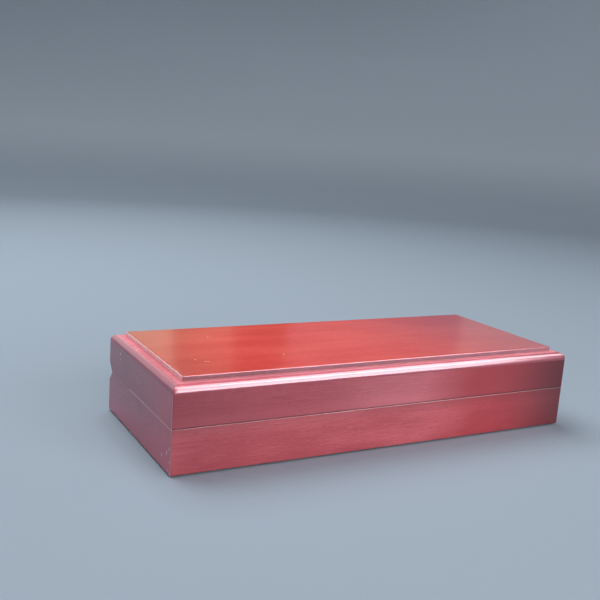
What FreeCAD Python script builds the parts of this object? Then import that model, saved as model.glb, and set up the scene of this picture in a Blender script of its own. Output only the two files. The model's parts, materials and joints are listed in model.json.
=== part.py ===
import FreeCAD, Part
import math
import os

from FreeCAD import Vector

# A hinged wooden case for shogi pieces: a mitred base tray and a mitred lid under
# one moulded board, joined at the back by two brass butt hinges.
# Millimetres. X runs along the case, the front is towards -Y, Z is up, and the
# origin is the middle of the footprint on the table.

# Overall sizes
case_length = 240.0
case_depth = 100.0
seam_height = 23.0          # table to the line where lid and base part
lid_height = 23.0           # seam to the top of the raised field
wall = 12.0                 # thickness of every wall
arris = 0.5                 # easing of the outer edges
seam_arris = 0.12           # easing of the edges along the seam

# Lid board and its moulding, from the outside in
board_edge_flat = 0.5       # upright edge below the quarter round
moulding_radius = 3.5
ledge_width = 3.1
field_step = 2.5            # how far the raised field stands above the ledge
field_arris = 0.3
ledge_cove = 0.2            # small inner radius where the field meets the ledge

# Relief along the back, a groove that lets the lid swing past upright
relief_depth = 5.2
relief_rise = 5.5           # up the lid and down the base
relief_arris = 1.5

# Floor, underlay and corner joints
floor_thickness = 4.0
floor_rebate = 6.0          # how far the floor reaches under each wall
panel_play = 0.1            # gap round a panel let into the wood
underlay_thickness = 0.8
underlay_inset = 2.0
underlay_corner = 3.0
spline_thickness = 2.5
spline_width = 8.0          # across the mitre
spline_margin = 1.0         # wood left above and below each spline
spline_play = 0.05

# Lining
lining_thickness = 1.6
pad_thickness = 2.0
lining_setback = 1.2        # the lining stops this far from the seam
glue_line = 0.1

# Hinges
hinge_length = 26.0
hinge_from_end = 45.0       # end of the case to the middle of a hinge
hinge_setback = 0.9         # pin axis behind the bottom of the relief groove
leaf_thickness = 0.9
leaf_gap = 0.2              # between the two leaves when shut
leaf_margin = 0.8           # wood left in front of a leaf
leaf_play = 0.1
knuckle_radius = 1.5
knuckle_count = 5           # odd, so that the base leaf holds both ends of the pin
knuckle_gap = 0.15
channel_play = 0.3          # wood to knuckle
pin_radius = 0.75
pin_play = 0.04             # pin to the turning knuckles
pin_head_radius = 1.15
pin_head_length = 0.5

# Hinge screws
screws_per_leaf = 2
screw_spacing = 16.0
screw_head_radius = 1.7
screw_rim = 0.15
screw_core_radius = 0.75
screw_thread_radius = 1.0
screw_pitch = 0.8
screw_threads = 6
screw_tip = 1.6
screw_slot_width = 0.5
screw_slot_depth = 0.5
screw_play = 0.05

# Closing magnets in the front walls
magnet_radius = 3.0
magnet_thickness = 2.5
magnet_from_end = 30.0
magnet_recess = 0.1
magnet_chamfer = 0.2
magnet_play = 0.05

# Places that follow from the sizes
half_length = case_length / 2
half_depth = case_depth / 2
inner_x = half_length - wall
inner_y = half_depth - wall
wood_bottom = underlay_thickness
floor_top = wood_bottom + floor_thickness
case_top = seam_height + lid_height
board_thickness = board_edge_flat + moulding_radius + field_step
board_bottom = case_top - board_thickness
field_inset = moulding_radius + ledge_width
groove_y = half_depth - relief_depth
axis_y = groove_y + hinge_setback
leaf_front_y = inner_y + leaf_margin
hinge_x = half_length - hinge_from_end
magnet_x = half_length - magnet_from_end
screw_y = (leaf_front_y + axis_y - knuckle_radius - knuckle_gap) / 2
cut_over = 1.0              # how far a cutter runs past the face it opens


def outline(corners, place):
    """Closed wire through (u, v, radius) corners, each rounded by its radius."""
    starts, arcs, ends = [], [], []
    for i, (u, v, radius) in enumerate(corners):
        corner = Vector(u, v, 0)
        before = Vector(*corners[i - 1][:2], 0) - corner
        after = Vector(*corners[(i + 1) % len(corners)][:2], 0) - corner
        before.normalize()
        after.normalize()
        half_angle = before.getAngle(after) / 2
        middle = before + after
        middle.normalize()
        run = radius / math.tan(half_angle)
        top = radius / math.sin(half_angle) - radius
        starts.append(place(corner + before * run))
        arcs.append(place(corner + middle * top))
        ends.append(place(corner + after * run))
    edges = []
    for i, (u, v, radius) in enumerate(corners):
        if radius:
            edges.append(Part.Arc(starts[i], arcs[i], ends[i]).toShape())
        edges.append(Part.makeLine(ends[i], starts[(i + 1) % len(corners)]))
    return Part.Wire(edges)


def prism(axis, corners, low, high):
    """Solid with a rounded outline across one axis, from low to high along it.

    The outline's (u, v) are (y, z), (x, z) or (x, y), for axis x, y or z.
    """
    run = high - low
    place, along = {
        "x": (lambda p: Vector(low, p.x, p.y), Vector(run, 0, 0)),
        "y": (lambda p: Vector(p.x, low, p.y), Vector(0, run, 0)),
        "z": (lambda p: Vector(p.x, p.y, low), Vector(0, 0, run)),
    }[axis]
    return Part.Face(outline(corners, place)).extrude(along)


def block(x0, x1, y0, y1, z0, z1):
    """Plain box between two corners."""
    return Part.makeBox(x1 - x0, y1 - y0, z1 - z0, Vector(x0, y0, z0))


def rectangle(half_u, half_v, radius=0.0):
    """Corners of a rectangle about the origin, all of one radius."""
    return [
        (-half_u, -half_v, radius),
        (half_u, -half_v, radius),
        (half_u, half_v, radius),
        (-half_u, half_v, radius),
    ]


def rod(x0, x1, y, z, radius):
    """Cylinder along X."""
    return Part.makeCylinder(radius, x1 - x0, Vector(x0, y, z), Vector(1, 0, 0))


def turned(profile):
    """Solid of revolution about Z from (radius, z) points."""
    points = [Vector(r, 0, z) for r, z in profile]
    face = Part.Face(Part.makePolygon(points + points[:1]))
    return face.revolve(Vector(0, 0, 0), Vector(0, 0, 1), 360)


def cut_all(shape, cutters):
    """shape less each of the cutters, with split faces joined again."""
    return shape.cut(Part.makeCompound(cutters)).removeSplitter()


def save(name, *solids):
    """Writes one node: a single solid, or a group of separate ones."""
    shape = solids[0] if len(solids) == 1 else Part.makeCompound(list(solids))
    for solid in shape.Solids:
        assert solid.isValid() and solid.Volume > 0, name
    shape.exportStep(f"parts/{name}.step")
    print(f"{name}: {len(shape.Solids)} solids, {shape.Volume:.2f} mm3")


# Case shells

def eased_block(side_corners, end_corners, low, high):
    """Block with mouldings that meet in mitres at its four upright corners.

    side_corners is the section across X and end_corners the section across Y.
    """
    along = prism("x", side_corners, -half_length, half_length)
    across = prism("y", end_corners, -half_depth, half_depth)
    upright = prism("z", rectangle(half_length, half_depth, arris), low, high)
    return along.common(across).common(upright)


def base_block():
    """The base before it is hollowed, with its half of the relief groove."""
    side = [
        (-half_depth, wood_bottom, arris),
        (half_depth, wood_bottom, arris),
        (half_depth, seam_height - relief_rise, relief_arris),
        (groove_y, seam_height, 0),
        (-half_depth, seam_height, seam_arris),
    ]
    end = [
        (-half_length, wood_bottom, arris),
        (half_length, wood_bottom, arris),
        (half_length, seam_height, seam_arris),
        (-half_length, seam_height, seam_arris),
    ]
    return eased_block(side, end, wood_bottom, seam_height)


def lid_block():
    """The lid walls before they are hollowed. The board sits on them."""
    side = [
        (-half_depth, seam_height, seam_arris),
        (groove_y, seam_height, 0),
        (half_depth, seam_height + relief_rise, relief_arris),
        (half_depth, board_bottom, 0),
        (-half_depth, board_bottom, 0),
    ]
    end = [
        (-half_length, seam_height, seam_arris),
        (half_length, seam_height, seam_arris),
        (half_length, board_bottom, 0),
        (-half_length, board_bottom, 0),
    ]
    return eased_block(side, end, seam_height, board_bottom)


def moulded_section(half_width):
    """Section of the lid board: quarter round, ledge, step and raised field."""
    round_bottom = board_bottom + board_edge_flat
    ledge = round_bottom + moulding_radius
    half_field = half_width - field_inset
    right = [
        (half_width, board_bottom, 0),
        (half_width, ledge, moulding_radius),
        (half_field, ledge, ledge_cove),
        (half_field, case_top, field_arris),
    ]
    left = [(-u, v, radius) for u, v, radius in reversed(right)]
    return right + left


def lid_board():
    """The board with its moulding run round all four sides."""
    return eased_block(
        moulded_section(half_depth), moulded_section(half_length), board_bottom, case_top
    )


def mitre_wedge(side, low, high):
    """Upright wedge that holds one wall, between the diagonals of its corners."""
    out = cut_over
    reach = wall + cut_over
    outer_x, outer_y = half_length + out, half_depth + out
    near_x, near_y = half_length - reach, half_depth - reach
    front = [(-outer_x, -outer_y), (outer_x, -outer_y), (near_x, -near_y), (-near_x, -near_y)]
    left = [(-outer_x, outer_y), (-outer_x, -outer_y), (-near_x, -near_y), (-near_x, near_y)]
    plan = {
        "front": front,
        "back": [(-x, -y) for x, y in front],
        "left": left,
        "right": [(-x, -y) for x, y in left],
    }[side]
    return prism("z", [(x, y, 0) for x, y in plan], low - out, high + out)


def corner_splines(low, high, play):
    """One loose tongue across each of the four mitres, grown by play."""
    half_across = spline_width / 2 + play
    half_thick = spline_thickness / 2 + play
    found = []
    for sx in (-1, 1):
        for sy in (-1, 1):
            tongue = block(
                -half_across, half_across, -half_thick, half_thick, low - play, high + play
            )
            tongue.rotate(Vector(0, 0, 0), Vector(0, 0, 1), -45 * sx * sy)
            middle = Vector(sx * (inner_x + wall / 2), sy * (inner_y + wall / 2), 0)
            tongue.translate(middle)
            found.append(tongue)
    return found


# Hinges, screws and magnets

def knuckle_spans(centre_x):
    """The (start, end) of each knuckle along the pin."""
    length = (hinge_length - (knuckle_count - 1) * knuckle_gap) / knuckle_count
    first = centre_x - hinge_length / 2
    starts = [first + i * (length + knuckle_gap) for i in range(knuckle_count)]
    return [(start, start + length) for start in starts]


def leaf_screws(centre_x):
    """X of each screw in a leaf, spread evenly about its middle."""
    first = centre_x - screw_spacing * (screws_per_leaf - 1) / 2
    return [first + i * screw_spacing for i in range(screws_per_leaf)]


def hinge_leaf(centre_x, up):
    """One leaf with its knuckles. up is 1 for the lid leaf and -1 for the base's."""
    spans = knuckle_spans(centre_x)
    own = spans[1::2] if up > 0 else spans[0::2]
    other = spans[0::2] if up > 0 else spans[1::2]
    x0, x1 = centre_x - hinge_length / 2, centre_x + hinge_length / 2
    near = seam_height + up * leaf_gap / 2
    far = near + up * leaf_thickness
    leaf = block(x0, x1, leaf_front_y, axis_y, min(near, far), max(near, far))
    room = knuckle_radius + knuckle_gap
    gaps = [
        rod(a - knuckle_gap, b + knuckle_gap, axis_y, seam_height, room) for a, b in other
    ]
    leaf = leaf.cut(Part.makeCompound(gaps))
    for a, b in own:
        leaf = leaf.fuse(rod(a, b, axis_y, seam_height, knuckle_radius))
    bore = pin_radius + (pin_play if up > 0 else 0)
    cutters = [rod(x0 - cut_over, x1 + cut_over, axis_y, seam_height, bore)]
    cutters += [screw_room(x, up) for x in leaf_screws(centre_x)]
    return cut_all(leaf, cutters)


def hinge_pin(centre_x):
    """The pin, with a riveted head at each end."""
    x0, x1 = centre_x - hinge_length / 2, centre_x + hinge_length / 2
    pin = rod(x0, x1, axis_y, seam_height, pin_radius)
    for start in (x0 - pin_head_length, x1):
        head = rod(start, start + pin_head_length, axis_y, seam_height, pin_head_radius)
        pin = pin.fuse(head)
    return pin.removeSplitter()


def screw_place(shape, x, up):
    """Puts a screw that is drawn pointing down at the origin into its leaf."""
    if up > 0:
        shape.rotate(Vector(0, 0, 0), Vector(1, 0, 0), 180)
    shape.translate(Vector(x, screw_y, seam_height + up * leaf_gap / 2))
    return shape


def screw_neck():
    """Depth at which the countersunk head has tapered to the core."""
    return screw_rim + screw_head_radius - screw_core_radius


def hinge_screw(x, up):
    """Countersunk wood screw with ring threads and a straight slot."""
    profile = [(0, 0), (screw_head_radius, 0), (screw_head_radius, -screw_rim)]
    z = -screw_neck()
    profile.append((screw_core_radius, z))
    for _ in range(screw_threads):
        profile.append((screw_thread_radius, z - screw_pitch / 2))
        profile.append((screw_core_radius, z - screw_pitch))
        z -= screw_pitch
    profile.append((0, z - screw_tip))
    slot = block(
        -screw_head_radius - cut_over,
        screw_head_radius + cut_over,
        -screw_slot_width / 2,
        screw_slot_width / 2,
        -screw_slot_depth,
        cut_over,
    )
    return screw_place(turned(profile).cut(slot), x, up)


def screw_room(x, up):
    """The hole for a screw: its countersink, and a bore for its threads."""
    head = screw_head_radius + screw_play
    bore = screw_thread_radius + screw_play
    neck = -screw_rim - (head - bore)
    end = -screw_neck() - screw_threads * screw_pitch - screw_tip - screw_play
    profile = [(0, cut_over), (head, cut_over), (head, -screw_rim), (bore, neck)]
    profile += [(bore, end), (0, end)]
    return screw_place(turned(profile), x, up)


def hinge_room(centre_x, up):
    """What the wood loses to one leaf: its bed, the knuckle channel and the screws."""
    reach = hinge_length / 2 + leaf_play
    depth = leaf_gap / 2 + leaf_thickness
    past = seam_height - up * cut_over
    bed_z = sorted((past, seam_height + up * depth))
    bed = block(
        centre_x - reach, centre_x + reach, leaf_front_y - leaf_play, half_depth, *bed_z
    )
    half_channel = hinge_length / 2 + pin_head_length + channel_play
    channel = rod(
        centre_x - half_channel,
        centre_x + half_channel,
        axis_y,
        seam_height,
        knuckle_radius + channel_play,
    )
    return [bed, channel] + [screw_room(x, up) for x in leaf_screws(centre_x)]


def magnet_cylinder(x, radius, near, far):
    """Upright cylinder in the middle of the front wall, between two heights."""
    low, high = sorted((near, far))
    foot = Vector(x, -half_depth + wall / 2, low)
    return Part.makeCylinder(radius, high - low, foot)


def magnet(x, up):
    """Disc magnet with chamfered rims, let in just below the face of the seam."""
    near = seam_height + up * magnet_recess
    disc = magnet_cylinder(x, magnet_radius, near, near + up * magnet_thickness)
    rims = [edge for edge in disc.Edges if isinstance(edge.Curve, Part.Circle)]
    return disc.makeChamfer(magnet_chamfer, rims)


def magnet_room(x, up):
    """The hole for a magnet, open at the seam."""
    far = seam_height + up * (magnet_recess + magnet_thickness + magnet_play)
    return magnet_cylinder(x, magnet_radius + magnet_play, seam_height - up * cut_over, far)


# Lining

def lining(side, low, high):
    """A covered card against one wall. Those at the ends fit between the others."""
    outer_x, outer_y = inner_x - glue_line, inner_y - glue_line
    face_x, face_y = outer_x - lining_thickness, outer_y - lining_thickness
    end_y = face_y - glue_line
    if side == "front":
        return block(-outer_x, outer_x, -outer_y, -face_y, low, high)
    if side == "back":
        return block(-outer_x, outer_x, face_y, outer_y, low, high)
    if side == "left":
        return block(-outer_x, -face_x, -end_y, end_y, low, high)
    return block(face_x, outer_x, -end_y, end_y, low, high)


def pad(low, high):
    """The flat pad between the wall linings."""
    inset = 2 * glue_line + lining_thickness
    x, y = inner_x - inset, inner_y - inset
    return block(-x, x, -y, y, low, high)


# The whole case

SIDES = ("front", "back", "left", "right")
HINGES = {"left": -hinge_x, "right": hinge_x}
MAGNETS = {"left": -magnet_x, "right": magnet_x}


def build_base():
    """Every piece of the tray that stands on the table."""
    well = block(-inner_x, inner_x, -inner_y, inner_y, floor_top, seam_height + cut_over)
    under_x, under_y = inner_x + floor_rebate, inner_y + floor_rebate
    rebate = block(-under_x, under_x, -under_y, under_y, wood_bottom - cut_over, floor_top)
    spline_low = floor_top + spline_margin
    spline_high = seam_height - relief_rise - spline_margin
    cutters = [well, rebate] + corner_splines(spline_low, spline_high, spline_play)
    for x in HINGES.values():
        cutters += hinge_room(x, -1)
    cutters += [magnet_room(x, -1) for x in MAGNETS.values()]
    shell = cut_all(base_block(), cutters)
    for side in SIDES:
        wedge = mitre_wedge(side, wood_bottom, seam_height)
        save(f"base_{side}_wall", shell.common(wedge).Solids[0])

    floor_x, floor_y = under_x - panel_play, under_y - panel_play
    save("base_floor", block(-floor_x, floor_x, -floor_y, floor_y, wood_bottom, floor_top))
    save("base_corner_splines", *corner_splines(spline_low, spline_high, 0))
    felt = rectangle(half_length - underlay_inset, half_depth - underlay_inset, underlay_corner)
    save("base_underlay", prism("z", felt, 0, underlay_thickness))

    lining_low = floor_top + glue_line
    for side in SIDES:
        save(f"base_{side}_lining", lining(side, lining_low, seam_height - lining_setback))
    save("base_floor_pad", pad(lining_low, lining_low + pad_thickness))

    for name, x in MAGNETS.items():
        save(f"base_magnet_{name}", magnet(x, -1))
    for name, x in HINGES.items():
        save(f"hinge_{name}_base_leaf", hinge_leaf(x, -1))
        save(f"hinge_{name}_pin", hinge_pin(x))
    screws = [hinge_screw(x, -1) for centre in HINGES.values() for x in leaf_screws(centre)]
    save("base_hinge_screws", *screws)


def build_lid():
    """Every piece that lifts with the lid."""
    hollow = block(
        -inner_x, inner_x, -inner_y, inner_y, seam_height - cut_over, board_bottom + cut_over
    )
    spline_low = seam_height + relief_rise + spline_margin
    spline_high = board_bottom - spline_margin
    cutters = [hollow] + corner_splines(spline_low, spline_high, spline_play)
    for x in HINGES.values():
        cutters += hinge_room(x, 1)
    cutters += [magnet_room(x, 1) for x in MAGNETS.values()]
    shell = cut_all(lid_block(), cutters)
    for side in SIDES:
        wedge = mitre_wedge(side, seam_height, board_bottom)
        save(f"lid_{side}_wall", shell.common(wedge).Solids[0])

    save("lid_board", lid_board())
    save("lid_corner_splines", *corner_splines(spline_low, spline_high, 0))

    lining_high = board_bottom - glue_line
    for side in SIDES:
        save(f"lid_{side}_lining", lining(side, seam_height + lining_setback, lining_high))
    save("lid_top_pad", pad(lining_high - pad_thickness, lining_high))

    for name, x in MAGNETS.items():
        save(f"lid_magnet_{name}", magnet(x, 1))
    for name, x in HINGES.items():
        save(f"hinge_{name}_lid_leaf", hinge_leaf(x, 1))
    screws = [hinge_screw(x, 1) for centre in HINGES.values() for x in leaf_screws(centre)]
    save("lid_hinge_screws", *screws)


os.makedirs("parts", exist_ok=True)
build_base()
build_lid()
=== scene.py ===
import json
import math

import bpy
import numpy as np
from mathutils import Matrix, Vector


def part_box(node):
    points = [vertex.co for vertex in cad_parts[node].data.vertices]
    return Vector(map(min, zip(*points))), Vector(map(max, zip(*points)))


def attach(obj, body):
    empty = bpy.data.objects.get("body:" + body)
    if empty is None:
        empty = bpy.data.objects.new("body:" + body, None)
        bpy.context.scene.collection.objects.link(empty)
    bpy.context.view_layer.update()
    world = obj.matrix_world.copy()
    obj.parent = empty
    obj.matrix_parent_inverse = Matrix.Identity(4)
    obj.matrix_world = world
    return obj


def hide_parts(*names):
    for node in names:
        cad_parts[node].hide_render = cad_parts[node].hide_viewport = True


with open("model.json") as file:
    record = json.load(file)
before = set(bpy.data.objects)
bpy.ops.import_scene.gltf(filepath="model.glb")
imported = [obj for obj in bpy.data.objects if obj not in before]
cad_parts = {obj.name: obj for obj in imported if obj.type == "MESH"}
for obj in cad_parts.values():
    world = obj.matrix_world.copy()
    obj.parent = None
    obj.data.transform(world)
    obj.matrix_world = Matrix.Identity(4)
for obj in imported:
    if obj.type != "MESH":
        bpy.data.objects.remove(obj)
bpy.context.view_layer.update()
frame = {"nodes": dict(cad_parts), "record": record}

# A hinged case in stained and lacquered wood, lined with baize, shut by magnets and
# hung on two brass butt hinges. Metres, X along the case, front towards -Y, Z up.

MM = 0.001
BODIES = ("base", "lid")
SIDES = ("front", "back", "left", "right")


# Camera

CAMERA_PLACE = (-248.5 * MM, -392.0 * MM, 158.8 * MM)
CAMERA_YAW = -29.06         # degrees about Z, from looking along +Y
CAMERA_PITCH = -11.67       # from level, so it looks down
CAMERA_ROLL = 4.01          # about its own axis
LENS = 50.77                # in mm, for a sensor 36 mm wide
SHIFT_UP = 6.5 / 600        # of the frame's height
CLIP_START, CLIP_END = 0.01, 50.0


def make_camera():
    """Camera turned by yaw about Z, pitch about X and roll about its own axis."""
    data = bpy.data.cameras.new("camera")
    data.lens = LENS
    data.shift_y = SHIFT_UP
    data.clip_start, data.clip_end = CLIP_START, CLIP_END
    camera = bpy.data.objects.new("camera", data)
    bpy.context.scene.collection.objects.link(camera)
    turn = (
        Matrix.Rotation(math.radians(CAMERA_YAW), 4, "Z")
        @ Matrix.Rotation(math.radians(90 + CAMERA_PITCH), 4, "X")
        @ Matrix.Rotation(math.radians(CAMERA_ROLL), 4, "Z")
    )
    camera.matrix_world = Matrix.Translation(CAMERA_PLACE) @ turn
    bpy.context.scene.camera = camera


# Material tools

def linear(code):
    """An sRGB hex colour as the linear red, green, blue and alpha that a shader takes."""
    parts = [int(code[i:i + 2], 16) / 255 for i in (1, 3, 5)]
    curve = [c / 12.92 if c <= 0.04045 else ((c + 0.055) / 1.055) ** 2.4 for c in parts]
    return (*curve, 1.0)


def add(tree, kind, sockets=None, **settings):
    """Adds a shader node with its settings, and a value or a link for each socket."""
    node = tree.nodes.new("ShaderNode" + kind)
    for name, value in settings.items():
        setattr(node, name, value)
    for key, value in (sockets or {}).items():
        if isinstance(value, bpy.types.NodeSocket):
            tree.links.new(value, node.inputs[key])
        else:
            node.inputs[key].default_value = value
    return node


def new_material(name, sockets_for):
    """A material whose Principled shader takes the sockets that sockets_for(tree) gives."""
    material = bpy.data.materials.new(name)
    material.use_nodes = True
    tree = material.node_tree
    tree.nodes.clear()
    shader = add(tree, "BsdfPrincipled", sockets_for(tree))
    add(tree, "OutputMaterial", {"Surface": shader.outputs["BSDF"]})
    return material


# Sockets of a Mix node that mixes colours
FACTOR, COLOUR_A, COLOUR_B, COLOUR_OUT = 0, 6, 7, 2

PER_MM = 1000.0             # Object coordinates are in metres, patterns in millimetres


def in_millimetres(tree, turn=0.0, offset=(0, 0, 0)):
    """The place on a piece in millimetres, turned about Z and moved to another spot."""
    return add(tree, "Mapping", {
        "Vector": add(tree, "TexCoord").outputs["Object"],
        "Location": offset,
        "Rotation": (0, 0, turn),
        "Scale": (PER_MM, PER_MM, PER_MM),
    }).outputs["Vector"]


def noise_layers(tree, place, layers):
    """A dictionary of noise values, from (name, size in mm along each axis, detail)."""
    found = {}
    for name, size, detail in layers:
        scaled = add(tree, "VectorMath", {0: place, 1: size}, operation="DIVIDE")
        noise = add(tree, "TexNoise", {"Vector": scaled.outputs[0], "Scale": 1.0, "Detail": detail})
        found[name] = noise.outputs["Fac"]
    return found


def tinted(tree, colour, value, low, high, strength, tint):
    """colour mixed towards tint by up to strength, as value goes from low to high."""
    mask = add(tree, "MapRange", {
        "Value": value, "From Min": low, "From Max": high, "To Max": strength,
    }, interpolation_type="SMOOTHSTEP")
    return add(tree, "Mix", {
        FACTOR: mask.outputs[0], COLOUR_A: colour, COLOUR_B: linear(tint),
    }, data_type="RGBA").outputs[COLOUR_OUT]


# Wood

# Deep and bright tone of the stain on each part
STAIN = {
    "base": ("#B04B55", "#CB646B"),
    "lid": ("#AE4853", "#CA616A"),
    "end": ("#984A5B", "#A25767"),
    "field": ("#E54E45", "#F15F53"),
    # The moulding and the ledge are toned lighter than the lid as painted light: they stand in for
    # light and reflections that the rim doesn't get
    "moulding": ("#C65868", "#DA707E"),
    "step": ("#784049", "#955965"),
    "ledge": ("#D47A86", "#E6919B"),
}
VESSEL_DARK = "#7C2E3A"
VESSEL_PALE = "#E68C8A"
# Dark tint of painted shade, used towards the ends of parts and low on the moulding
PAINTED_SHADE = "#54202C"
CORNER_RUB = "#D2B4C2"
# Painted shade along the seam between lid and base, on the lid's edge
PAINTED_SEAM_SHADE = "#2A1218"
SEAM_RIM = 0.4              # how far from the seam its uneven edges reach, in mm
SEAM_SKIN = 0.5             # and how far in from the outer faces
SKIN_FALL = 10.0            # mm of distance from the seam that each mm further in counts as
SEAM_SHADE_FADE = (0.85, 0.35)    # distances from the seam where the painted shade begins and where it is full
SEAM_SHADE_STRENGTH = 0.75
RUB_AND_HIGHLIGHT_FADE = (0.35, 0.1)      # the same for the pale edge, partly from wear and partly a painted highlight
PALE_WEAR_AND_HIGHLIGHT = "#F8D4D2"       # beech showing through where wear reaches an edge, and the colour of painted highlights on edges
NICK_CORE = 0.5             # share of a nick's radius inside which it is palest
NICK_STRENGTH = 0.6
WEAR_AND_HIGHLIGHT_FLECK = 0.8            # how far flecks break up the outline of the pale colour
WEAR_AND_HIGHLIGHT_FADE = (0.82, 0.98)    # sum of wear, painted highlight and flecks where the pale colour begins and where it is full
WEAR_AND_HIGHLIGHT_STRENGTH = 0.85

# Share of each layer of noise in the figure of the wood
FIGURE = (("band", 0.25), ("fibre", 0.30), ("cloud", 0.45))

# Where the rim at the seam is pale, partly from wear and partly a painted highlight: axis, sign, the
# distance in mm where it ends, strength
RUB_AND_HIGHLIGHT = {"base_left": ("Y", 1, 14, 0.7), "base_front": ("X", -1, 40, 0.2)}

# Directions along which painted light and shade change across a part
WAYS = {"X": (1, 0, 0), "Y": (0, 1, 0), "Z": (0, 0, 1), "rear left": (-0.5, 0.87, 0)}

# Painted light and shade on each part, and one corner pale from wear: (way, where in mm it starts,
# where it is full, strength, tint)
PAINTED_LIGHT_AND_WEAR = {
    # Deeper red then dark towards the right end, darker at the left end and just below the seam:
    # painted shade
    "base_front": (
        ("X", 15, 60, 0.55, "#A8282E"), ("X", 62, 126, 0.78, "#2E1820"),
        ("X", -62, -134, 0.3, PAINTED_SHADE), ("Z", 16.5, 22.5, 0.27, PAINTED_SHADE),
    ),
    # Lighter towards the seam and a pale haze in the middle: painted light and painted reflection; deep
    # red then dark towards the ends: painted shade
    "lid_front": (
        ("Z", 34, 25, 0.3, "#E0707A"), ("X", -70, 0, 0.22, "#C8909A"),
        ("X", 8, 58, 0.8, "#96222C"), ("X", 60, 124, 0.75, "#1A0C14"),
        ("X", 50, -140, 0.6, PAINTED_SHADE),
    ),
    # Darker towards the ends: painted shade
    "back": (("X", 80, 128, 0.6, PAINTED_SHADE), ("X", -80, -128, 0.6, PAINTED_SHADE)),
    # Redder towards the front and lighter low down: painted light; darker at the back: painted shade;
    # the front corner pale from wear
    "left": (
        ("Y", 30, 56, 0.1, PAINTED_SHADE), ("Y", 5, -50, 0.32, "#E84A5E"),
        ("Z", 22, 4, 0.35, "#E86A84"), ("Y", -49.0, -49.7, 0.35, CORNER_RUB),
    ),
    # Darker towards the ends: painted shade
    "right": (("Y", 36, 54, 0.3, PAINTED_SHADE), ("Y", -36, -54, 0.3, PAINTED_SHADE)),
    # Bluish grey on the right: painted reflection; darker at the left end and the rear left: painted
    # shade
    "field": (
        ("X", -5, 125, 0.5, "#544864"), ("X", -65, -130, 0.4, PAINTED_SHADE),
        ("rear left", 45, 85, 0.24, "#6E4918"),
    ),
    # Darker on the lower round and at the right end: painted shade
    "moulding": (("Z", 43.0, 40.2, 0.5, PAINTED_SHADE), ("X", 60, 124, 0.5, PAINTED_SHADE)),
    # A pale step: painted light; a darker mauve outer round: painted shade and painted reflection
    "end_moulding": (("X", -114.0, -113.4, 0.9, "#FF9CA2"), ("X", -116.2, -118.2, 0.6, "#7A4055")),
}

# Lacquer as it came out: full and clear, thin on the step, and sunk in on the ledge
GLOSS = {"Roughness": 0.45, "Specular IOR Level": 0.05, "Coat Weight": 1.0, "Coat Roughness": 0.14}
DRY = {"Roughness": 0.7, "Specular IOR Level": 0.2, "Coat Weight": 0.35, "Coat Roughness": 0.5}
DULL = {"Roughness": 0.75, "Specular IOR Level": 0.05, "Coat Weight": 0.08, "Coat Roughness": 0.4}


def seam_shade_and_wear(tree, wood, place, noise, seam, side, seam_shade, rub_and_highlight):
    """Painted shade and a pale edge along the seam, and the height of its uneven edge.

    side is 1 above the seam and -1 below it. Both go by the distance from the seam,
    which grows SKIN_FALL times as fast inside SEAM_SKIN, so they stay on the outer
    faces. After side comes how strong the painted shade in the seam is, and then None,
    or where the edge is pale, partly from wear and partly as a painted highlight: the
    axis, its sign, the distance along it where that ends, and the strength.
    """
    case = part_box("lid_board")[1] / MM
    axes = add(tree, "SeparateXYZ", {0: place}).outputs
    outward = add(tree, "VectorMath", {0: place}, operation="ABSOLUTE")
    skin = (case.x - SEAM_SKIN, case.y - SEAM_SKIN, 0)
    inside = add(tree, "VectorMath", {0: skin, 1: outward.outputs[0]}, operation="SUBTRACT")
    inside = add(tree, "SeparateXYZ", {0: inside.outputs[0]}).outputs
    depth = add(tree, "Math", {0: inside["X"], 1: inside["Y"]}, operation="MINIMUM", use_clamp=True)
    above = add(tree, "Math", {0: axes["Z"], 1: side, 2: -side * seam}, operation="MULTIPLY_ADD")
    away = add(tree, "Math", {
        0: depth.outputs[0], 1: SKIN_FALL, 2: above.outputs[0],
    }, operation="MULTIPLY_ADD").outputs[0]
    # Painted shade along the seam, full close to it
    wood = tinted(tree, wood, away, *SEAM_SHADE_FADE, seam_shade, PAINTED_SEAM_SHADE)
    # A pale line along the edge: from wear, and partly a painted highlight on its arris
    if rub_and_highlight is not None:
        axis, sign, end, strength = rub_and_highlight
        past = add(tree, "Math", {
            0: axes[axis], 1: sign, 2: -end,
        }, operation="MULTIPLY_ADD", use_clamp=True)
        edge = add(tree, "Math", {0: past.outputs[0], 1: away})
        wood = tinted(tree, wood, edge.outputs[0], *RUB_AND_HIGHLIGHT_FADE, strength, PALE_WEAR_AND_HIGHLIGHT)
    near = add(tree, "Math", {0: away, 1: SEAM_RIM}, operation="LESS_THAN")
    uneven = add(tree, "Math", {0: noise, 1: near.outputs[0]}, operation="MULTIPLY")
    return wood, uneven.outputs[0]


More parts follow.
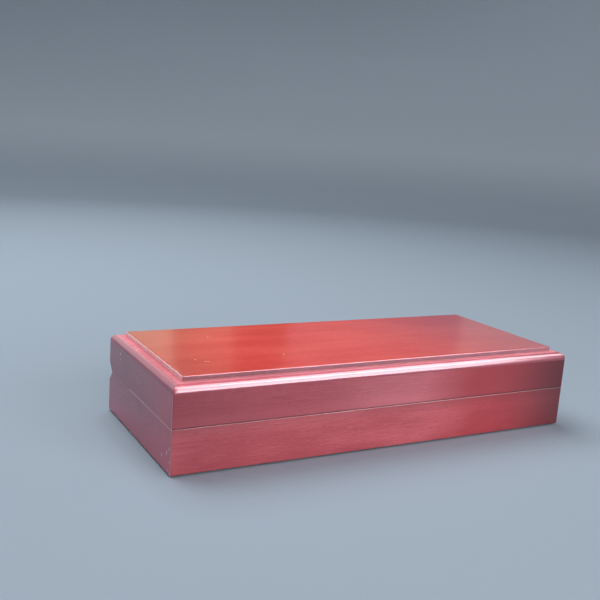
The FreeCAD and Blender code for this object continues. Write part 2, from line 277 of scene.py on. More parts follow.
def stained_wood(
    name, tones, finish=GLOSS, turn=0.0, offset=(0, 0, 0), painted_light_and_wear=(), seam=None, nicks=()
):
    """Beech, planed and sanded, stained mahogany red under satin lacquer.

    The grain runs along X after a turn about Z, as one solid pattern, so faces and ends
    agree. Stain takes unevenly in clouds, and short vessel lines show as dark and pale
    ticks. The tints given for each part paint light and shade across it: darker ends
    where less light falls, lighter bands, and tints that stand in for reflections, with
    one corner pale from wear. A nick is a pale spot at (x, y, z, radius) where the finish
    is gone. A wear attribute, where a piece has one, brings bare wood out along its
    edges: wear, and in part a painted highlight. The lacquer is a clear coat: smooth,
    with a faint ripple over the grain. seam holds the arguments for the seam's painted
    shade and pale edge.
    """
    def sockets(tree):
        plain = in_millimetres(tree)
        layers = noise_layers(tree, in_millimetres(tree, turn, offset), (
            ("cloud", (45, 22, 22), 1.0),
            ("band", (300, 7, 7), 1.0),     # growth rings, almost hidden by the stain
            ("fibre", (16, 0.8, 0.8), 2.0),
            ("tick", (3.0, 0.45, 0.45), 1.0),   # vessels, a little wider than real ones
            ("fleck", (0.9, 0.9, 0.9), 1.0),
            ("ripple", (9, 4, 4), 0.0),     # the lacquer's own surface
            ("rim", (1.6, 0.5, 0.5), 1.0),
        ))
        figure = 0.0
        for layer, share in FIGURE:
            figure = add(tree, "Math", {
                0: layers[layer], 1: share, 2: figure,
            }, operation="MULTIPLY_ADD").outputs[0]
        wood = tinted(tree, linear(tones[0]), figure, 0.36, 0.64, 1.0, tones[1])
        wood = tinted(tree, wood, layers["tick"], 0.42, 0.28, 0.30, VESSEL_DARK)
        wood = tinted(tree, wood, layers["tick"], 0.60, 0.74, 0.20, VESSEL_PALE)

        for way, start, full, strength, tint in painted_light_and_wear:
            along = add(tree, "VectorMath", {0: plain, 1: WAYS[way]}, operation="DOT_PRODUCT")
            wood = tinted(tree, wood, along.outputs["Value"], start, full, strength, tint)
        if seam:
            wood, uneven = seam_shade_and_wear(tree, wood, plain, layers["rim"], **seam)
        for x, y, z, radius in nicks:
            away = add(tree, "VectorMath", {0: plain, 1: (x, y, z)}, operation="DISTANCE")
            wood = tinted(
                tree, wood, away.outputs["Value"], radius, NICK_CORE * radius, NICK_STRENGTH, PALE_WEAR_AND_HIGHLIGHT
            )
        # Pale colour from the wear attribute: wear, and in part a painted highlight on edges and
        # painted light on the left step
        wear_and_highlight = add(tree, "Attribute", attribute_name="wear_and_highlight").outputs["Fac"]
        bare = add(tree, "Math", {
            0: layers["fleck"], 1: WEAR_AND_HIGHLIGHT_FLECK, 2: wear_and_highlight,
        }, operation="MULTIPLY_ADD")
        wood = tinted(tree, wood, bare.outputs[0], *WEAR_AND_HIGHLIGHT_FADE, WEAR_AND_HIGHLIGHT_STRENGTH, PALE_WEAR_AND_HIGHLIGHT)

        # Vessels show through the finish as dents 0.01 mm deep, the lacquer ripples by
        # 0.02 mm, and the edges at the seam are uneven by 0.1 mm
        dents = add(tree, "Bump", {"Height": layers["tick"], "Strength": 0.5, "Distance": 0.01 * MM})
        ripple = add(tree, "Bump", {
            "Height": layers["ripple"],
            "Strength": 0.5,
            "Distance": 0.02 * MM,
            "Normal": dents.outputs[0],
        })
        relief = ripple.outputs[0]
        if seam:
            relief = add(tree, "Bump", {
                "Height": uneven, "Strength": 1.0, "Distance": 0.1 * MM, "Normal": relief,
            }).outputs[0]
        return {"Base Color": wood, "Coat IOR": 1.5, "Coat Normal": relief, **finish}

    return new_material(name, sockets)


# Meshes

def surface_object(name, points, capped=False):
    """Mesh object from rings of points, shape (rings, points of a ring, 3), joined into quads.

    A capped object is closed with one face over its first ring and one over its last.
    Faces point along the ring's direction crossed with the way to the next ring.
    """
    rows, columns = points.shape[:2]
    i, j = np.meshgrid(np.arange(rows - 1), np.arange(columns), indexing="ij")
    next_i, next_j = i + 1, (j + 1) % columns
    corners = [i * columns + j, i * columns + next_j, next_i * columns + next_j, next_i * columns + j]
    faces = np.stack(corners, axis=-1).reshape(-1, 4).tolist()
    if capped:
        last = (rows - 1) * columns
        faces.append(list(range(columns - 1, -1, -1)))
        faces.append(list(range(last, last + columns)))
    mesh = bpy.data.meshes.new(name)
    mesh.from_pydata(points.reshape(-1, 3), [], faces)
    mesh.polygons.foreach_set("use_smooth", np.ones(len(faces), bool))
    mesh.update()
    made = bpy.data.objects.new(name, mesh)
    bpy.context.scene.collection.objects.link(made)
    return made


def fit_piece(piece, body, material, node):
    """Gives a new piece its finish and its body, and hides the CAD node that it stands for."""
    piece.data.materials.append(material)
    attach(piece, body)
    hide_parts(node)


def eased_rings(half_x, half_y, radius, steps_x, steps_y, corner_steps):
    """Rounded rectangles, each anticlockwise from the front left, as (rings, points, 2).

    half_x, half_y and radius are arrays with a value for each ring. A side runs along
    its direction d at the distance of its normal n, and the corner after it turns from
    n to d.
    """
    rings = []
    quarter = np.linspace(0, math.pi / 2, corner_steps + 2)[1:-1]
    for side in range(4):
        d = np.array([math.cos(side * math.pi / 2), math.sin(side * math.pi / 2)])
        n = np.array([d[1], -d[0]])
        run, out, steps = (half_x, half_y, steps_x) if side % 2 == 0 else (half_y, half_x, steps_y)
        run = (run - radius)[:, None, None]
        along = np.linspace(-1, 1, steps)[None, :, None]
        rings.append(along * run * d + out[:, None, None] * n)
        turn = np.cos(quarter)[:, None] * n + np.sin(quarter)[:, None] * d
        rings.append(run * d + (out - radius)[:, None, None] * n + radius[:, None, None] * turn)
    return np.concatenate(rings, axis=1)


# Moulded lid board

MOULDING_RADIUS = 3.5       # down to FIELD_ARRIS these repeat the board's own section, in mm
BOARD_EDGE_FLAT = 0.5
LEDGE_WIDTH = 3.1
LEDGE_COVE = 0.2
FIELD_ARRIS = 0.3
CORNER_EASE = 0.5           # radius of the outermost corners, seen from above
MITRE_EASE = 0.08           # and of the creases of the moulding, which are sharp
BESIDE = 0.02               # loops this close to a bend keep the flats flat
FIELD_MARGIN = 2.0          # ring inside the field's edge, where its dents have died out
LET_IN = 0.2                # how deep the field's piece reaches into the rim's
ROUND_STEPS, SMALL_STEPS = 24, 7
EDGE_STEPS_X, EDGE_STEPS_Y, CORNER_STEPS = 120, 170, 4
BOARD_GRAIN = (11, 23, -95)     # where the board is cut from the pattern of the grain
SAME = 1e-6                 # places closer than this are taken as one
SHORTEST, SHALLOWEST = 0.4, 0.2     # least shares of a dent's length and of its depth's root

# Numbers of the rim's materials, in the order in which make_board lists them
END_FINISH, ROUND_FINISH, LEDGE_FINISH, STEP_FINISH = range(4)

# Wear and painted highlight: how pale the wood shows, 1 for fully, and how far that reaches from the
# field's arris
ARRIS_WEAR_AND_HIGHLIGHT, ARRIS_REACH = 0.30, 0.5     # along the whole arris, partly a painted highlight
LEFT_WEAR_AND_HIGHLIGHT, LEFT_REACH = 0.35, 0.8       # and added at the left end, partly a painted highlight
STEP_WEAR_AND_LIGHT = 0.49                        # on the upright of the left end, partly painted light
KNOCK_WEAR, KNOCK_REACH = 2.2, 1.8      # for each mm of a knock in the left arris
LEDGE_WEAR = 2.0                        # for each mm of a mark on the left ledge
LEDGE_SLANT = 0.8                       # how far those marks lean, in mm along for each mm across
LEDGE_BELOW = 2.0                       # and how far below the field they stay

ARRIS_KNOCKS = {"count": 60, "half_length": 1.8, "depth": 0.26, "seed": 3}
LEDGE_MARKS = {"count": 26, "half_length": 0.9, "depth": 0.34, "seed": 8}

# Pale specks on the field, in mm: x, y, z and radius
LINT = (
    (-74.3, 22.4, 46, 0.8),
    (-97.3, -18.5, 46, 0.7),
    (-93.8, -22.7, 46, 0.6),
    (-92.9, -22.9, 46, 0.6),
    (-92.0, -23.0, 46, 0.6),
    (-49.4, -20.1, 46, 0.8),
    (88.5, -37.9, 46, 0.6),
)

# Scuffs on the ledge and the arris above it, towards the back of the left end
LEDGE_SCUFFS = (
    (-113.2, 47.6, 46.0, 1.3),
    (-113.2, 44.6, 45.8, 0.9),
    (-113.2, 41.4, 45.9, 0.8),
    (-113.3, 36.4, 45.9, 0.7),
    (-113.3, 32.0, 45.8, 0.6),
    (-115.6, 19.6, 43.5, 0.8),
    (-116.4, 13.9, 43.5, 0.8),
    (-115.2, 17.0, 43.5, 0.6),
    (-114.4, 27.4, 43.5, 0.5),
)

# Nicks near the lower front corner of the left end, and two high at its back
END_NICKS = (
    (-120, -47.8, 13.3, 0.7),
    (-120, -44.5, 10.8, 0.7),
    (-120, -44.7, 9.9, 0.6),
    (-120, -38.0, 6.9, 0.9),
    (-120, -48.4, 7.1, 0.6),
    (-120, -46.7, 2.6, 0.6),
    (-120, -49.0, 1.7, 0.7),
    (-120, 30.6, 37.4, 0.8),
    (-120, 30.1, 34.5, 0.5),
)


def arc(centre_inset, centre_z, radius, start, end, steps):
    """(inset, height) points of an arc. 0 degrees points out from the case, 90 up."""
    angle = np.radians(np.linspace(start, end, steps))
    return np.stack([centre_inset - radius * np.cos(angle), centre_z + radius * np.sin(angle)], axis=1)


def board_sections(bottom, top):
    """Two sections of the board from its underside out: the moulding, and the field on it."""
    round_foot = bottom + BOARD_EDGE_FLAT
    ledge = round_foot + MOULDING_RADIUS
    step = MOULDING_RADIUS + LEDGE_WIDTH
    step_top = top - FIELD_ARRIS
    flat = step + FIELD_ARRIS + BESIDE
    ledge_run = np.linspace(MOULDING_RADIUS + BESIDE, step - LEDGE_COVE - BESIDE, SMALL_STEPS)
    step_run = np.linspace(ledge + LEDGE_COVE + BESIDE, step_top - BESIDE, SMALL_STEPS)
    field_run = np.linspace(flat, flat + FIELD_MARGIN, SMALL_STEPS)
    moulding = np.concatenate([
        [(FIELD_MARGIN, bottom), (BESIDE, bottom), (0, bottom)],
        [(0, bottom + BESIDE), (0, round_foot - BESIDE)],
        arc(MOULDING_RADIUS, round_foot, MOULDING_RADIUS, 0, 90, ROUND_STEPS),
        np.stack([ledge_run, np.full(SMALL_STEPS, ledge)], axis=1),
        arc(step - LEDGE_COVE, ledge + LEDGE_COVE, -LEDGE_COVE, 90, 0, SMALL_STEPS),
        np.stack([np.full(SMALL_STEPS, step), step_run], axis=1),
        arc(step + FIELD_ARRIS, step_top, FIELD_ARRIS, 0, 90, SMALL_STEPS),
        [(flat, top), (flat, top - LET_IN), (flat + FIELD_MARGIN, top - LET_IN)],
    ])
    under = top - LET_IN + BESIDE
    field = np.concatenate([
        [(flat + FIELD_MARGIN, under), (flat + BESIDE, under)],
        np.stack([field_run, np.full(SMALL_STEPS, top)], axis=1),
    ])
    return moulding, field


def knocks(place, count, half_length, depth, seed):
    """Depth of wear along an edge: the deepest of many short parabolic dents.

    Each dent is depth * (1 - (distance / half_length) ** 2) about its own middle. The
    lengths and depths given are those of the largest.
    """
    draw = np.random.default_rng(seed)
    middle = draw.uniform(place.min(), place.max(), count)
    half = draw.uniform(SHORTEST, 1.0, count) * half_length
    deep = draw.uniform(SHALLOWEST, 1.0, count) ** 2 * depth
    away = (place[..., None] - middle) / half
    return np.max(np.clip(1 - away ** 2, 0, 1) * deep, axis=-1)


def fading(distance, reach):
    """1 at no distance, and evenly down to 0 at reach."""
    return np.clip(1 - distance / reach, 0, 1)


def board_piece(name, section, materials, finishes=None, end_finishes=None):
    """Part of the lid board: a section carried round the case, with a knocked arris on the left.

    The left end of the field is end grain, and the cutter left it rough: its arris is
    knocked back in dents, and bare wood shows on it and on the step below it. A pale
    colour along the whole arris, strongest at the left end and on its step, is kept in a
    point attribute that the finish reads: wear, and in part a painted highlight and
    painted light. finishes and end_finishes give the material's number for each strip of
    the section, the second at the left end.
    """
    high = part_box("lid_board")[1] / MM
    inset, height = section[:, 0], section[:, 1]
    ease = np.clip(CORNER_EASE - inset, MITRE_EASE, CORNER_EASE)
    rings = eased_rings(
        high.x - inset, high.y - inset, ease, EDGE_STEPS_X, EDGE_STEPS_Y, CORNER_STEPS
    )
    points = np.empty((*rings.shape[:2], 3))
    points[..., :2] = rings
    points[..., 2] = height[:, None]

    step = MOULDING_RADIUS + LEDGE_WIDTH
    from_arris = np.hypot(inset - step, height - high.z)[:, None]
    on_left = np.abs(points[..., 0] + (high.x - inset[:, None])) < SAME
    along = points[..., 1]
    dents = knocks(along, **ARRIS_KNOCKS) * fading(from_arris, KNOCK_REACH) * on_left
    points[..., 0] += dents / math.sqrt(2)
    points[..., 2] -= dents / math.sqrt(2)

    upright = (np.abs(inset - step) < SAME)[:, None]
    on_ledge = ((inset > MOULDING_RADIUS) & (height < high.z - LEDGE_BELOW))[:, None]
    marks = knocks(along + LEDGE_SLANT * inset[:, None], **LEDGE_MARKS)
    # Pale along the arris and on the left end's step: wear, and partly a painted highlight and painted
    # light
    wear_and_highlight = ARRIS_WEAR_AND_HIGHLIGHT * fading(from_arris, ARRIS_REACH)
    wear_and_highlight = wear_and_highlight + on_left * (
        KNOCK_WEAR * dents + STEP_WEAR_AND_LIGHT * upright + LEFT_WEAR_AND_HIGHLIGHT * fading(from_arris, LEFT_REACH)
    )
    wear_and_highlight = wear_and_highlight + on_left * on_ledge * LEDGE_WEAR * marks
    piece = surface_object(name, points * MM, capped=True)
    kept = piece.data.attributes.new("wear_and_highlight", "FLOAT", "POINT")
    kept.data.foreach_set("value", np.clip(wear_and_highlight, 0, 1).astype(np.float32).ravel())
    fit_piece(piece, "lid", materials[0], "lid_board")
    for material in materials[1:]:
        piece.data.materials.append(material)
    if finishes is not None:
        each = np.where(on_left[:-1], end_finishes[:, None], finishes[:, None]).ravel()
        caps = [END_FINISH, END_FINISH]
        piece.data.polygons.foreach_set("material_index", np.append(each, caps).astype(np.int32))
    return piece


def make_board():
    """The board in two pieces, its moulded rim and its raised field. Returns the field."""
    low, high = (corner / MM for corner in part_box("lid_board"))
    moulding, field = board_sections(low.z, high.z)
    rim_materials = [
        stained_wood(
            "stained_beech_end_moulding", STAIN["moulding"], offset=BOARD_GRAIN,
            painted_light_and_wear=PAINTED_LIGHT_AND_WEAR["end_moulding"], nicks=LEDGE_SCUFFS,
        ),
        stained_wood(
            "stained_beech_moulding", STAIN["moulding"], offset=BOARD_GRAIN, painted_light_and_wear=PAINTED_LIGHT_AND_WEAR["moulding"]
        ),
        stained_wood(
            "dull_stained_beech_ledge", STAIN["ledge"], DULL, offset=BOARD_GRAIN, nicks=LEDGE_SCUFFS
        ),
        stained_wood("dry_stained_beech_step", STAIN["step"], DRY, offset=BOARD_GRAIN),
    ]

    # Each strip of the section takes its finish by where its middle lies
    middle = (moulding[1:] + moulding[:-1]) / 2
    cove_top = low.z + BOARD_EDGE_FLAT + MOULDING_RADIUS + LEDGE_COVE
    past_round = middle[:, 0] > MOULDING_RADIUS
    past_cove = past_round & (middle[:, 1] > cove_top)
    past_step = past_round & (middle[:, 1] > high.z - FIELD_ARRIS)
    finishes = np.select(
        [past_step, past_cove, past_round], [ROUND_FINISH, STEP_FINISH, LEDGE_FINISH], ROUND_FINISH
    )
    end_finishes = np.where(past_round & ~past_cove, LEDGE_FINISH, END_FINISH)
    board_piece("moulded_rim", moulding, rim_materials, finishes, end_finishes)
    top = stained_wood(
        "stained_beech_field", STAIN["field"], offset=BOARD_GRAIN, painted_light_and_wear=PAINTED_LIGHT_AND_WEAR["field"], nicks=LINT
    )
    return board_piece("raised_field", field, [top])


# Baize

LINING_CARD_EDGE = 0.7      # radius of the edge where the baize turns over the card, in mm
LINING_CORNER = 1.2         # radius of a lining's corners
LINING_CORE = 0.25          # and of its inner rings, which have no room for more
LINING_GRID = 1.6           # about how far apart its points are
LINING_HEART = 0.3          # how near its middle line the last ring comes
FEWEST_RINGS, FEWEST_POINTS = 4, 8      # over its face, and along a side
BACK_RING, BACK_EASE = 2.0, 0.15        # insets of the first two rings, at the back
SIDE_RING = 0.2             # how far behind mid-thickness the ring on its side is
EDGE_RINGS = 5              # rings over the quarter round of its edge
WALL_CROWN, PAD_CROWN = 0.12, 0.35      # how far the middle stands above the edges
PUCKER = 0.12               # how deep the cloth draws in near the edges
PUCKER_INSET, PUCKER_SPREAD = 1.2, 1.6  # how far in from the edge that is, and how wide
FOLD_WAVES = (0.83, 0.29)   # radians per mm of the two sines of its folds
FOLD_SKEW, FOLD_PHASE = 1.31, 1.3       # how much Y counts against X, and the second one's start
BAIZE_GREEN = ("#12402C", "#1E5A3E")


def baize():
    """Baize: fulled wool, dyed and raised, so it is matt with a soft nap that catches light.

    The nap is drawn at 0.35 mm, a little coarser than real wool, so that it shows.
    """
    def sockets(tree):
        layers = noise_layers(tree, in_millimetres(tree), (
            ("nap", (0.35, 0.35, 0.35), 2.0),
            ("brushing", (14, 9, 9), 1.0),      # where the nap was brushed another way
            ("lint", (1.1, 1.1, 1.1), 0.0),
        ))
        wool = tinted(tree, linear(BAIZE_GREEN[0]), layers["nap"], 0.35, 0.65, 1.0, BAIZE_GREEN[1])
        wool = tinted(tree, wool, layers["brushing"], 0.40, 0.68, 0.18, "#2C6B4C")
        wool = tinted(tree, wool, layers["lint"], 0.80, 0.86, 0.4, "#7E9A86")
        nap = add(tree, "Bump", {"Height": layers["nap"], "Strength": 0.8, "Distance": 0.12 * MM})
        return {
            "Base Color": wool,
            "Roughness": 0.95,
            "Specular IOR Level": 0.15,
            "Sheen Weight": 0.4,
            "Sheen Roughness": 0.5,
            "Sheen Tint": linear("#A9C8B4"),
            "Normal": nap.outputs[0],
        }

    return new_material("green_wool_baize", sockets)


def soft_slab(low, high, facing, crown):
    """Closed slab of card covered with cloth, as rings of points from its back to its face.

    facing is (axis, sign) of the face that shows. With u and v from -1 to 1 over its
    width and height, that face is crowned by crown times (1 - u^4)(1 - v^4). Its edge is
    a quarter round, and near it the cloth is drawn in by up to PUCKER, by a product of
    two sines along the edge. Sizes in mm.
    """
    axis, sign = facing
    across = [i for i in range(3) if i != axis]
    size = high - low
    middle = (low + high) / 2
    half = size[across] / 2
    edge = min(LINING_CARD_EDGE, size[axis] / 2)
    angle = np.linspace(0, math.pi / 2, EDGE_RINGS)
    rounds = max(FEWEST_RINGS, int(min(half) / LINING_GRID))
    face = np.linspace(edge, min(half) - LINING_HEART, rounds)[1:]
    lift = np.concatenate([
        [0, 0, size[axis] / 2 - SIDE_RING],
        size[axis] - edge + edge * np.sin(angle),
        np.full(len(face), size[axis]),
    ])
    inset = np.concatenate([[BACK_RING, BACK_EASE, 0.0], edge * (1 - np.cos(angle)), face])
    steps = [max(FEWEST_POINTS, int(2 * h / LINING_GRID)) for h in half]
    ease = np.maximum(LINING_CORNER - inset, LINING_CORE)
    rings = eased_rings(half[0] - inset, half[1] - inset, ease, *steps, CORNER_STEPS)
    shown = (lift >= size[axis] - edge)[:, None]
    u, v = rings[..., 0] / half[0], rings[..., 1] / half[1]
    rise = crown * (1 - u ** 4) * (1 - v ** 4)
    near_edge = np.exp(-((inset - PUCKER_INSET) / PUCKER_SPREAD) ** 2)[:, None]
    around = rings[..., 0] + FOLD_SKEW * rings[..., 1]
    folds = np.sin(around * FOLD_WAVES[0]) * np.sin(around * FOLD_WAVES[1] + FOLD_PHASE)
    level = lift[:, None] - shown * (crown - rise + PUCKER * near_edge * (1 + folds) / 2)
    points = np.empty((*rings.shape[:2], 3))
    points[..., across[0]] = rings[..., 0] + middle[across[0]]
    points[..., across[1]] = rings[..., 1] + middle[across[1]]
    points[..., axis] = (low[axis] if sign > 0 else high[axis]) + sign * level

    # X and Z in order turn left-handed about Y, so there, as on a face that looks back
    # along its axis, the rings are turned round
    handed = sign * (-1 if axis == 1 else 1)
    return points if handed > 0 else points[:, ::-1]


# The face of each lining and pad that shows: its axis and direction
FACING = {
    "front": (1, 1), "back": (1, -1),
    "left": (0, 1), "right": (0, -1),
    "floor": (2, 1), "top": (2, -1),
}


def make_linings():
    """Card covered with baize on every wall, and a thicker pad on the floor and in the lid."""
    wool = baize()
    parts = [(f"{body}_{side}_lining", body, side, WALL_CROWN) for body in BODIES for side in SIDES]
    parts += [("base_floor_pad", "base", "floor", PAD_CROWN), ("lid_top_pad", "lid", "top", PAD_CROWN)]
    for node, body, side, crown in parts:
        low, high = (np.array(corner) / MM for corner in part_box(node))
        points = soft_slab(low, high, FACING[side], crown)
        piece = surface_object(f"baize_{node}", points * MM, capped=True)
        fit_piece(piece, body, wool, node)


# Underlay

UNDERLAY_CORNER = 3.0       # repeats the felt's own corner, in mm
UNDERLAY_CORE = 0.3         # corner of its inner rings
FELT_SOFT = 0.25            # how far its cut edges are rounded
FELT_CUT = 0.07             # inset and height of the ring halfway round them
FELT_RINGS = (40, 20, 8, 3, 1)      # insets of the rings on its flats
FELT_STEPS = (150, 64, 8)   # points along its length, its width and round a corner
DRAWN_UP = 0.05             # how far the glue draws its underside up, at most
GLUE_WAVES = (0.11, 0.17)   # radians per mm of that, along X and along Y
GLUE_PHASE = 0.6            # where the second starts


def felt():
    """Pressed wool felt, cut from a sheet: matted fibres with no weave, dull and even.

    Fibre clumps are drawn at 0.6 mm.
    """
    def sockets(tree):
        layers = noise_layers(tree, in_millimetres(tree), (
            ("clump", (0.6, 0.6, 0.6), 3.0),
            ("patch", (18, 18, 18), 1.0),
        ))
        wool = tinted(tree, linear("#180E11"), layers["clump"], 0.35, 0.7, 1.0, "#33262A")
        wool = tinted(tree, wool, layers["patch"], 0.45, 0.65, 0.3, "#3B2D31")
        fuzz = add(tree, "Bump", {"Height": layers["clump"], "Strength": 0.9, "Distance": 0.2 * MM})
        return {
            "Base Color": wool,
            "Roughness": 0.95,
            "Specular IOR Level": 0.1,
            "Sheen Weight": 0.25,
            "Sheen Roughness": 0.6,
            "Normal": fuzz.outputs[0],
        }

    return new_material("dark_pressed_felt", sockets)


def make_underlay():
    """Felt glued under the floor: a rounded rectangle with soft cut edges, nearly flat.

    Its rings run from its underside over the cut edge to its top, which mirrors the
    underside. The glue drew the underside up in places, by up to DRAWN_UP times the
    square of a product of two sines.
    """
    low, high = (np.array(corner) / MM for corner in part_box("base_underlay"))
    size = high - low
    under_inset = np.array([*FELT_RINGS, FELT_SOFT, FELT_CUT, 0])
    under_level = np.array([0] * (len(FELT_RINGS) + 1) + [FELT_CUT, FELT_SOFT])
    inset = np.concatenate([under_inset, under_inset[::-1]])
    level = np.concatenate([under_level, size[2] - under_level[::-1]])
    ease = np.maximum(UNDERLAY_CORNER - inset, UNDERLAY_CORE)
    rings = eased_rings(size[0] / 2 - inset, size[1] / 2 - inset, ease, *FELT_STEPS)
    points = np.empty((*rings.shape[:2], 3))
    points[..., :2] = rings
    wave = np.sin(rings[..., 0] * GLUE_WAVES[0]) * np.sin(rings[..., 1] * GLUE_WAVES[1] + GLUE_PHASE)
    drawn_up = DRAWN_UP * wave ** 2 * (level < FELT_SOFT)[:, None] * (inset > FELT_SOFT)[:, None]
    points[..., 2] = low[2] + level[:, None] + drawn_up
    piece = surface_object("felt_underlay", points * MM, capped=True)
    fit_piece(piece, "base", felt(), "base_underlay")


# Fittings

METAL_SLOTS = ("hinge_brass", "magnet_nickel")
PLY = 1.33                  # thickness of a veneer in the floor, in mm


def brass():
    """Rolled brass leaf and turned brass screws, lightly brushed and dulled by handling.

    Brush lines are drawn 0.25 mm apart.
    """
    def sockets(tree):
        layers = noise_layers(tree, in_millimetres(tree), (
            ("brushed", (6, 0.25, 0.25), 1.0),
            ("tarnish", (3.5, 3.5, 3.5), 2.0),
        ))
        metal = tinted(tree, linear("#C9A35A"), layers["tarnish"], 0.42, 0.75, 0.5, "#A07C42")
        metal = tinted(tree, metal, layers["brushed"], 0.55, 0.75, 0.2, "#DDBB78")
        rough = add(tree, "MapRange", {
            "Value": layers["tarnish"],
            "From Min": 0.35, "From Max": 0.75,
            "To Min": 0.32, "To Max": 0.42,
        })
        lines = add(tree, "Bump", {"Height": layers["brushed"], "Strength": 0.4, "Distance": 0.02 * MM})
        return {
            "Base Color": metal,
            "Metallic": 1.0,
            "Roughness": rough.outputs[0],
            "Normal": lines.outputs[0],
        }

    return new_material("brushed_brass", sockets)


def nickel():
    """Nickel plate on a pressed magnet: bright, faintly warm, with fine handling scratches."""
    def sockets(tree):
        layers = noise_layers(tree, in_millimetres(tree, turn=0.6), (
            ("scratch", (3.0, 0.12, 0.12), 0.0),
            ("cloud", (2.2, 2.2, 2.2), 1.0),
        ))
        metal = tinted(tree, linear("#C6C2B8"), layers["cloud"], 0.4, 0.7, 0.5, "#A8A49B")
        rough = add(tree, "MapRange", {
            "Value": layers["scratch"],
            "From Min": 0.5, "From Max": 0.75,
            "To Min": 0.14, "To Max": 0.34,
        })
        return {"Base Color": metal, "Metallic": 1.0, "Roughness": rough.outputs[0]}

    return new_material("nickel_plate", sockets)


def plain_wood(name, pale, dark, ply=None):
    """Bare timber, cut and sanded: no stain, fine fibre and rings.

    Plywood shows its veneers on its edges as bands, each as thick as ply, in mm.
    """
    def sockets(tree):
        place = in_millimetres(tree)
        layers = noise_layers(tree, place, (
            ("ring", (120, 5, 5), 2.0),
            ("fibre", (9, 0.35, 0.35), 2.0),
        ))
        wood = tinted(tree, linear(pale), layers["ring"], 0.42, 0.62, 0.6, dark)
        wood = tinted(tree, wood, layers["fibre"], 0.55, 0.75, 0.4, dark)
        if ply:
            height = add(tree, "SeparateXYZ", {0: place}).outputs["Z"]
            veneer = add(tree, "Math", {0: height, 1: ply}, operation="PINGPONG")
            wood = tinted(tree, wood, veneer.outputs[0], 0.45 * ply, 0.55 * ply, 0.35, dark)
        grain = add(tree, "Bump", {"Height": layers["fibre"], "Strength": 0.5, "Distance": 0.03 * MM})
        return {"Base Color": wood, "Roughness": 0.62, "Normal": grain.outputs[0]}

    return new_material(name, sockets)


def dress_fittings():
    """Metal on the hinges, screws and magnets, and bare wood on the floor and splines.

    Returns the metal nodes.
    """
    finishes = {
        "hinge_brass": brass(),
        "magnet_nickel": nickel(),
        "floor_ply": plain_wood("birch_plywood", "#DCC199", "#BF9A6A", ply=PLY),
        "spline_wood": plain_wood("plain_beech", "#D2AC82", "#B08358"),
    }
    metals = []
    for part in frame["record"]["subparts"]:
        slot = part["material_slot"]
        if slot in finishes:
            node = frame["nodes"][part["node"]]
            node.data.materials[0] = finishes[slot]
            if slot in METAL_SLOTS:
                metals.append(node)
    return metals


# Studio

FLOOR_FLAT = 1.3            # radius of the flat floor, in metres
FLOOR_EYE = 0.001           # radius of the hole left in its middle, under the case
FLOOR_SWEEP = 0.8           # radius of the curve up to the wall
WALL_TOP = 1.6
FLOOR_RINGS, FLOOR_SPOKES = 64, 96
WALL_FOOT = (0.02, 0.14)    # heights between which the wall's paint takes over
CURTAIN_FOOT = (0.27, 0.38)     # heights between which the curtain begins
CURTAIN_EDGE = (0.9, 1.7)   # and distances from the case, towards CURTAIN_SIDE
CURTAIN_SIDE = (math.sin(math.radians(30)), math.cos(math.radians(30)), 0)
ROOM_STRENGTH = 0.4


def studio_paint():
    """Matt emulsion, rolled: even, pale and cool.

    Reflections find a dark curtain high up behind the case, which the camera doesn't see.
    """
    def sockets(tree):
        place = add(tree, "TexCoord").outputs["Object"]
        height = add(tree, "SeparateXYZ", {0: place}).outputs["Z"]
        paint = tinted(tree, linear("#97A3AF"), height, *WALL_FOOT, 1.0, "#AFB9C4")
        high_up = add(tree, "MapRange", {
            "Value": height, "From Min": CURTAIN_FOOT[0], "From Max": CURTAIN_FOOT[1],
        }, interpolation_type="SMOOTHSTEP")
        across = add(tree, "VectorMath", {0: place, 1: CURTAIN_SIDE}, operation="DOT_PRODUCT")
        curtain = add(tree, "Math", {
            0: high_up.outputs[0], 1: across.outputs["Value"],
        }, operation="MULTIPLY")
        seen = add(tree, "LightPath").outputs["Is Camera Ray"]
        curtain = add(tree, "Math", {0: curtain.outputs[0], 1: seen}, operation="SUBTRACT")
        paint = tinted(tree, paint, curtain.outputs[0], *CURTAIN_EDGE, 1.0, "#3E4349")
        return {"Base Color": paint, "Roughness": 1.0, "Specular IOR Level": 0.0}

    return new_material("matt_studio_paint", sockets)


def make_floor():
    """Floor that curves up into a wall all round: a profile turned about Z.

    From the wall's top the profile runs down, round a quarter circle and in to the middle.
    """
    flat = np.linspace(FLOOR_FLAT, FLOOR_EYE, FLOOR_RINGS)
    turn = np.linspace(math.pi / 2, 0, FLOOR_RINGS)
    wall = FLOOR_FLAT + FLOOR_SWEEP
    radius = np.concatenate([[wall], FLOOR_FLAT + FLOOR_SWEEP * np.sin(turn), flat])
    height = np.concatenate([[WALL_TOP], FLOOR_SWEEP * (1 - np.cos(turn)), 0 * flat])
    angle = np.linspace(0, 2 * math.pi, FLOOR_SPOKES, endpoint=False)
    points = np.empty((len(radius), len(angle), 3))
    points[..., 0] = radius[:, None] * np.cos(angle)
    points[..., 1] = radius[:, None] * np.sin(angle)
    points[..., 2] = height[:, None]
    floor = surface_object("studio_floor", points)
    floor.data.materials.append(studio_paint())


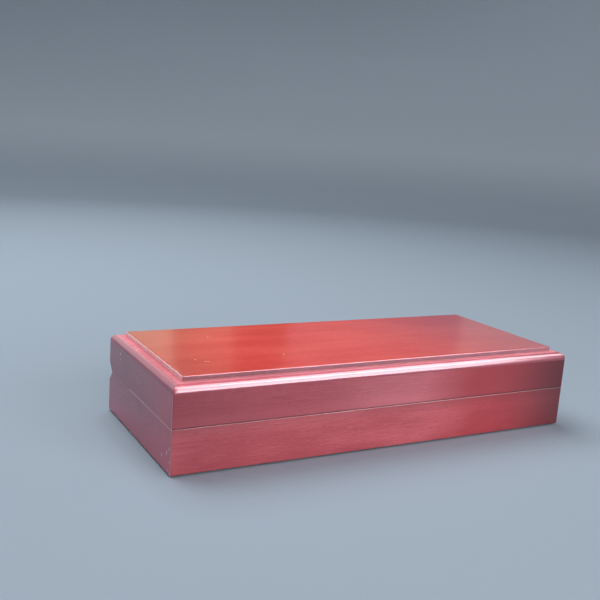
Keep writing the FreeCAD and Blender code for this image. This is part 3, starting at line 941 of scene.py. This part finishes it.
def area_lamp(
    name, azimuth, elevation, distance, size, radiance, colour, aim=(0, 0, 0), lean=0.0
):
    """Soft box that faces the point aim, from a distance in metres.

    Azimuth is from the front towards +X and elevation from level, in degrees. size is the
    box's width and height, radiance is how bright it looks, and lean turns it in its own
    plane.
    """
    data = bpy.data.lights.new(name, "AREA")
    data.shape = "RECTANGLE"
    data.size, data.size_y = size
    data.energy = radiance * math.pi * size[0] * size[1]
    data.color = linear(colour)[:3]
    lamp = bpy.data.objects.new(name, data)
    bpy.context.scene.collection.objects.link(lamp)
    lamp.matrix_world = (
        Matrix.Translation(aim)
        @ Matrix.Rotation(math.radians(azimuth), 4, "Z")
        @ Matrix.Rotation(math.radians(90 - elevation), 4, "X")
        @ Matrix.Translation((0, 0, distance))
        @ Matrix.Rotation(math.radians(lean), 4, "Z")
    )
    return lamp


def light_link(lamps, name, objects, state):
    """Makes lamps light only the objects, or everything but them, by state."""
    linked = bpy.data.collections.new(name)
    for place, thing in enumerate(objects):
        linked.objects.link(thing)
        linked.collection_objects[place].light_linking.link_state = state
    for lamp in lamps:
        lamp.light_linking.receiver_collection = linked


def make_lights(field, metals):
    """Soft light from above and the front, gleams for the finishes, and a cool dim room.

    A gleam is a soft box or a card that is only mirrored. The soft boxes leave out the
    field, so that it keeps its colour from every side, and the metals, which have a
    softer panel of their own.
    """
    room_lights = [
        area_lamp("window_light", 12, 20, 1.3, (1.3, 0.8), 4.2, "#FFFDFA"),
        area_lamp("ceiling_light", 203, 62, 1.3, (1.2, 1.0), 4.5, "#FFFFFF"),
    ]
    for lamp in room_lights:
        lamp.visible_glossy = False
    soft_boxes = [
        area_lamp("low_gleam", 0, 16, 0.95, (0.68, 0.50), 5.0, "#F6F2FF", aim=(0.45, 0, 0)),
        area_lamp("front_gleam", 0, 34, 0.8, (0.68, 1.05), 13.0, "#FBF2FB", aim=(0.45, 0, 0)),
        area_lamp("high_gleam", 0, 77, 0.9, (0.90, 0.75), 12.0, "#FBF2FB", aim=(0.60, 0, 0), lean=25),
        area_lamp("rear_gleam", 192, 24, 1.5, (1.1, 0.9), 1.7, "#D8D2D6"),
    ]
    cards = [
        area_lamp("left_card", 168, 15, 1.6, (0.26, 0.5), 0.9, "#CDBFA8"),
        area_lamp("wide_left_card", 165.5, 15, 1.6, (0.42, 0.5), 0.35, "#CDBFA8"),
        area_lamp("grey_card", 140.5, 17, 1.6, (0.68, 0.5), 0.26, "#C8C6DC"),
        area_lamp("right_card", 131, 15, 1.6, (0.36, 0.5), 0.35, "#D6C6B8"),
    ]
    metal_panels = [
        area_lamp("metal_front_panel", 20, 40, 1.0, (1.2, 0.8), 1.0, "#FFFFFF"),
        area_lamp("metal_back_panel", 200, 35, 1.0, (1.8, 1.0), 1.7, "#FFFFFF"),
    ]
    for lamp in soft_boxes + cards + metal_panels:
        lamp.visible_diffuse = False
        lamp.visible_camera = False
    light_link(soft_boxes, "all_but_field_and_metals", [field] + metals, "EXCLUDE")
    light_link(metal_panels, "only_metals", metals, "INCLUDE")
    world = bpy.data.worlds.new("room")
    bpy.context.scene.world = world
    world.use_nodes = True
    background = world.node_tree.nodes["Background"]
    background.inputs["Color"].default_value = linear("#D4DBE2")
    background.inputs["Strength"].default_value = ROOM_STRENGTH


# Case

GRAIN_STEP = (37, 90, 61)   # how far apart the walls are cut from the pattern of the grain


def dress_walls():
    """Gives each wooden wall its own run of grain, told apart by its names' lengths.

    Painted shade darkens the lid just above the seam, but not at the left end, where the base's edge
    below it is pale instead.
    """
    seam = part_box("base_front_wall")[1].z / MM
    for body in BODIES:
        for side in SIDES:
            is_end = side in ("left", "right")
            node = frame["nodes"][f"{body}_{side}_wall"]
            node.data.materials[0] = stained_wood(
                f"stained_beech_{body}_{side}",
                STAIN["end" if is_end else body],
                turn=math.pi / 2 if is_end else 0.0,
                offset=(GRAIN_STEP[0] * len(side), GRAIN_STEP[1], GRAIN_STEP[2] * len(body)),
                painted_light_and_wear=PAINTED_LIGHT_AND_WEAR[f"{body}_front" if side == "front" else side],
                seam={
                    "seam": seam,
                    "side": 1 if body == "lid" else -1,
                    "seam_shade": SEAM_SHADE_STRENGTH if body == "lid" and side != "left" else 0,
                    "rub_and_highlight": RUB_AND_HIGHLIGHT.get(f"{body}_{side}"),
                },
                nicks=END_NICKS if side == "left" else (),
            )


make_camera()
dress_walls()
field = make_board()
make_linings()
make_underlay()
metals = dress_fittings()
make_floor()
make_lights(field, metals)
bpy.context.scene.view_settings.view_transform = "Standard"
